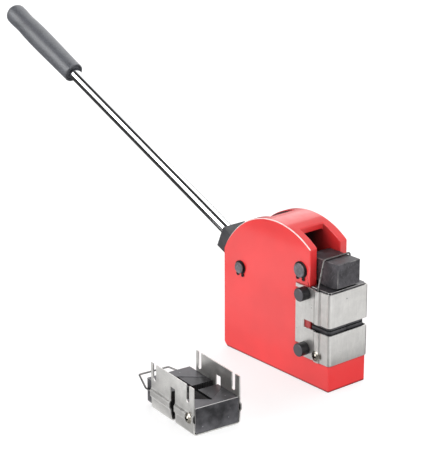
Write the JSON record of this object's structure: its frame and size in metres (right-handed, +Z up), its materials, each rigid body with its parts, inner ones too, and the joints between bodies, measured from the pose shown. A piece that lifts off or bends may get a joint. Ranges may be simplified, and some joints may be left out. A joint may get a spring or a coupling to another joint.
{
  "type": "shrinker stretcher",
  "caption": "Bench shrinker stretcher: an arched C-frame with a long lever that closes toothed sliding jaws on sheet metal, and a spare jaw set.",
  "frame": {"origin": "centre of the frame's flat underside", "axes": "+X forward to the jaws, +Z up, handle towards -X"},
  "size_m": [0.6376, 0.2482, 0.3228],
  "materials": {
    "frame_paint": "gloss red paint on a casting",
    "pin_steel": "oiled dark steel",
    "circlip_steel": "black spring steel",
    "hub_paint": "dark grey satin paint",
    "bright_steel": "ground steel",
    "rod_chrome": "bright chrome plate",
    "grip_rubber": "matt grey rubber",
    "rocker_steel": "black oxide with worn edges",
    "knob_steel": "black oxide",
    "cover_steel": "bright brushed sheet",
    "screw_zinc": "yellow zinc plate",
    "holder_steel": "dark oiled steel",
    "bail_wire": "drawn spring wire",
    "jaw_steel": "hardened dark steel"
  },
  "bodies": {
    "frame": {"frame_casting": "frame_paint", "rear_pivot_pin": "pin_steel", "front_pivot_pin": "pin_steel", "pivot_circlips": "circlip_steel"},
    "lever": {"lever_hub": "hub_paint", "roller_pin": "pin_steel", "handle_rod": "rod_chrome", "handle_grip": "grip_rubber"},
    "roller": {"drive_roller": "bright_steel"},
    "rocker": {"rocker_arm": "rocker_steel"},
    "jaw_set": {"jaw_cover": "cover_steel", "cover_screws": "screw_zinc", "lower_jaw_holder": "holder_steel"},
    "upper_holder": {"upper_jaw_holder": "holder_steel", "lifting_bail": "bail_wire"},
    "lower_left_jaw": {"lower_left_jaw": "jaw_steel", "lower_jaw_spring": "bright_steel"},
    "lower_right_jaw": {"lower_right_jaw": "jaw_steel"},
    "upper_left_jaw": {"upper_left_jaw": "jaw_steel", "upper_jaw_spring": "bright_steel"},
    "upper_right_jaw": {"upper_right_jaw": "jaw_steel"},
    "upper_left_thumb_screw": {"upper_left_thumb_screw": "knob_steel"},
    "upper_right_thumb_screw": {"upper_right_thumb_screw": "knob_steel"},
    "lower_left_thumb_screw": {"lower_left_thumb_screw": "knob_steel"},
    "lower_right_thumb_screw": {"lower_right_thumb_screw": "knob_steel"},
    "spare_set": {"spare_jaw_cover": "cover_steel", "spare_cover_screws": "screw_zinc", "spare_lower_jaw_holder": "holder_steel"},
    "spare_upper_holder": {"spare_upper_jaw_holder": "holder_steel", "spare_lifting_bail": "bail_wire"},
    "spare_lower_left_jaw": {"spare_lower_left_jaw": "jaw_steel", "spare_lower_jaw_spring": "bright_steel"},
    "spare_lower_right_jaw": {"spare_lower_right_jaw": "jaw_steel"},
    "spare_upper_left_jaw": {"spare_upper_left_jaw": "jaw_steel", "spare_upper_jaw_spring": "bright_steel"},
    "spare_upper_right_jaw": {"spare_upper_right_jaw": "jaw_steel"}
  },
  "joints": [
    {"name": "handle_swing", "type": "hinge", "parent": "frame", "child": "lever", "pos_m": [-0.058, 0, 0.1035], "axis": [0, 1, 0], "range_deg": [0, 60]},
    {"name": "roller_spin", "type": "hinge", "parent": "lever", "child": "roller", "pos_m": [-0.04656, 0, 0.11469], "axis": [0, 1, 0], "continuous": true},
    {"name": "rocker_rock", "type": "hinge", "parent": "frame", "child": "rocker", "pos_m": [0.0416, 0, 0.129], "axis": [0, 1, 0], "range_deg": [-10.4, 0]},
    {"name": "jaw_set_slide", "type": "slide", "parent": "frame", "child": "jaw_set", "axis": [1, 0, 0], "range_m": [0, 0.06]},
    {"name": "upper_holder_lift", "type": "slide", "parent": "jaw_set", "child": "upper_holder", "axis": [0, 0, 1], "range_m": [0, 0.0052]},
    {"name": "lower_left_jaw_slide", "type": "slide", "parent": "jaw_set", "child": "lower_left_jaw", "axis": [0, 0.809, -0.5878], "range_m": [0, 0.0015], "stiffness_N_per_m": 800},
    {"name": "lower_right_jaw_slide", "type": "slide", "parent": "jaw_set", "child": "lower_right_jaw", "axis": [0, -0.809, -0.5878], "range_m": [0, 0.0015]},
    {"name": "upper_left_jaw_slide", "type": "slide", "parent": "upper_holder", "child": "upper_left_jaw", "axis": [0, 0.809, 0.5878], "range_m": [0, 0.0015]},
    {"name": "upper_right_jaw_slide", "type": "slide", "parent": "upper_holder", "child": "upper_right_jaw", "axis": [0, -0.809, 0.5878], "range_m": [0, 0.0015]},
    {"name": "upper_left_thumb_screw_turn", "type": "hinge", "parent": "frame", "child": "upper_left_thumb_screw", "pos_m": [0.0515, 0.0343, 0.106], "axis": [0, 1, 0], "range_deg": [0, 720]},
    {"name": "upper_right_thumb_screw_turn", "type": "hinge", "parent": "frame", "child": "upper_right_thumb_screw", "pos_m": [0.0515, -0.0343, 0.106], "axis": [0, -1, 0], "range_deg": [0, 720]},
    {"name": "lower_left_thumb_screw_turn", "type": "hinge", "parent": "frame", "child": "lower_left_thumb_screw", "pos_m": [0.0515, 0.0343, 0.042], "axis": [0, 1, 0], "range_deg": [0, 720]},
    {"name": "lower_right_thumb_screw_turn", "type": "hinge", "parent": "frame", "child": "lower_right_thumb_screw", "pos_m": [0.0515, -0.0343, 0.042], "axis": [0, -1, 0], "range_deg": [0, 720]},
    {"name": "spare_set_lift", "type": "slide", "parent": "frame", "child": "spare_set", "axis": [0, 0, 1], "range_m": [0, 0.1]},
    {"name": "spare_upper_holder_draw", "type": "slide", "parent": "spare_set", "child": "spare_upper_holder", "axis": [-0.9942, 0.108, 0], "range_m": [-0.0098, 0.006]},
    {"name": "spare_lower_left_jaw_slide", "type": "slide", "parent": "spare_set", "child": "spare_lower_left_jaw", "axis": [0.6717, 0.7408, 0], "range_m": [0, 0.0015], "stiffness_N_per_m": 800},
    {"name": "spare_lower_right_jaw_slide", "type": "slide", "parent": "spare_set", "child": "spare_lower_right_jaw", "axis": [0.497, -0.8678, 0], "range_m": [0, 0.0015]},
    {"name": "spare_upper_left_jaw_slide", "type": "slide", "parent": "spare_upper_holder", "child": "spare_upper_left_jaw", "axis": [-0.497, 0.8678, 0], "range_m": [0, 0.0015]},
    {"name": "spare_upper_right_jaw_slide", "type": "slide", "parent": "spare_upper_holder", "child": "spare_upper_right_jaw", "axis": [-0.6717, -0.7408, 0], "range_m": [0, 0.0015]}
  ],
  "couplings": [
    {"joint": "rocker_rock", "follows": "handle_swing", "ratio": -0.172},
    {"joint": "upper_holder_lift", "follows": "handle_swing", "m_per_rad": 0.00487},
    {"joint": "lower_right_jaw_slide", "follows": "lower_left_jaw_slide", "ratio": 1},
    {"joint": "upper_left_jaw_slide", "follows": "lower_left_jaw_slide", "ratio": 1},
    {"joint": "upper_right_jaw_slide", "follows": "lower_left_jaw_slide", "ratio": 1},
    {"joint": "spare_lower_right_jaw_slide", "follows": "spare_lower_left_jaw_slide", "ratio": 1},
    {"joint": "spare_upper_left_jaw_slide", "follows": "spare_lower_left_jaw_slide", "ratio": 1},
    {"joint": "spare_upper_right_jaw_slide", "follows": "spare_lower_left_jaw_slide", "ratio": 1}
  ]
}
